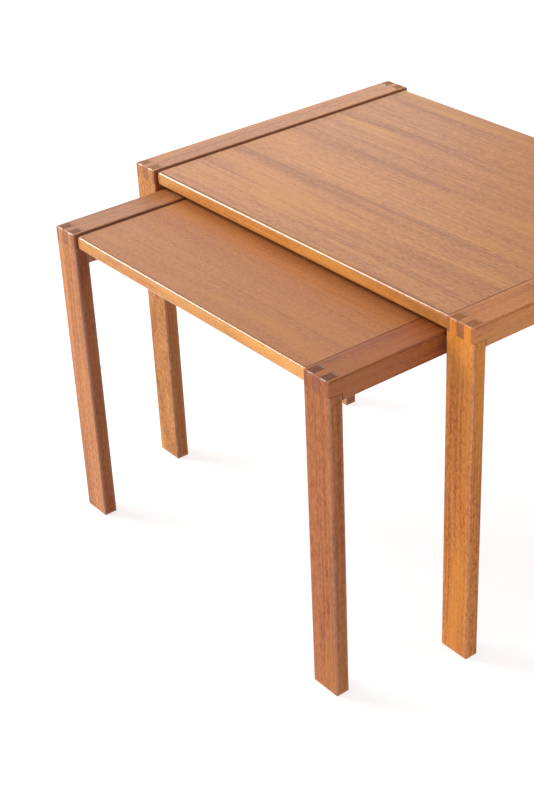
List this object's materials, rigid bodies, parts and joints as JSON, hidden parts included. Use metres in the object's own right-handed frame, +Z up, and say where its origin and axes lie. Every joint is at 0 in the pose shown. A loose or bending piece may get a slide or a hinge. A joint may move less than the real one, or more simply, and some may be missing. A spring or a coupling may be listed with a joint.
{
  "type": "nesting tables",
  "caption": "A pair of nesting tables in teak: finger-jointed end frames, veneered tops, the small table drawing out from under the large one.",
  "frame": {"origin": "on the floor, at the middle of the footprint of the pair as it stands, with the small table part drawn out", "axes": "+X along the length of the tops, -Y the way the small table draws out, +Z up"},
  "size_m": [0.71, 0.677, 0.5],
  "materials": {
    "teak_frame": "oiled teak, long straight grain, satin",
    "teak_lipping": "oiled teak strip, lighter and more orange than the top",
    "teak_veneer": "oiled teak veneer, streaked along the top, satin",
    "core_board": "bare pressed wood board",
    "beech_dowel": "bare fluted beech"
  },
  "bodies": {
    "large_table": {"large_back_lipping": "teak_lipping", "large_backing_veneer": "teak_veneer", "large_core_board": "core_board", "large_front_lipping": "teak_lipping", "large_left_back_leg": "teak_frame", "large_left_batten": "teak_frame", "large_left_dowel_1": "beech_dowel", "large_left_dowel_2": "beech_dowel", "large_left_dowel_3": "beech_dowel", "large_left_dowel_4": "beech_dowel", "large_left_end_lipping": "teak_lipping", "large_left_front_leg": "teak_frame", "large_left_rail": "teak_frame", "large_right_back_leg": "teak_frame", "large_right_batten": "teak_frame", "large_right_dowel_1": "beech_dowel", "large_right_dowel_2": "beech_dowel", "large_right_dowel_3": "beech_dowel", "large_right_dowel_4": "beech_dowel", "large_right_end_lipping": "teak_lipping", "large_right_front_leg": "teak_frame", "large_right_rail": "teak_frame", "large_top_veneer": "teak_veneer"},
    "small_table": {"small_back_lipping": "teak_lipping", "small_backing_veneer": "teak_veneer", "small_core_board": "core_board", "small_front_lipping": "teak_lipping", "small_left_back_leg": "teak_frame", "small_left_batten": "teak_frame", "small_left_dowel_1": "beech_dowel", "small_left_dowel_2": "beech_dowel", "small_left_dowel_3": "beech_dowel", "small_left_dowel_4": "beech_dowel", "small_left_end_lipping": "teak_lipping", "small_left_front_leg": "teak_frame", "small_left_rail": "teak_frame", "small_right_back_leg": "teak_frame", "small_right_batten": "teak_frame", "small_right_dowel_1": "beech_dowel", "small_right_dowel_2": "beech_dowel", "small_right_dowel_3": "beech_dowel", "small_right_dowel_4": "beech_dowel", "small_right_end_lipping": "teak_lipping", "small_right_front_leg": "teak_frame", "small_right_rail": "teak_frame", "small_top_veneer": "teak_veneer"}
  },
  "joints": [
    {"name": "small_table_slide", "type": "slide", "parent": "large_table", "child": "small_table", "axis": [0, -1, 0], "range_m": [-0.173, 0.335]}
  ]
}
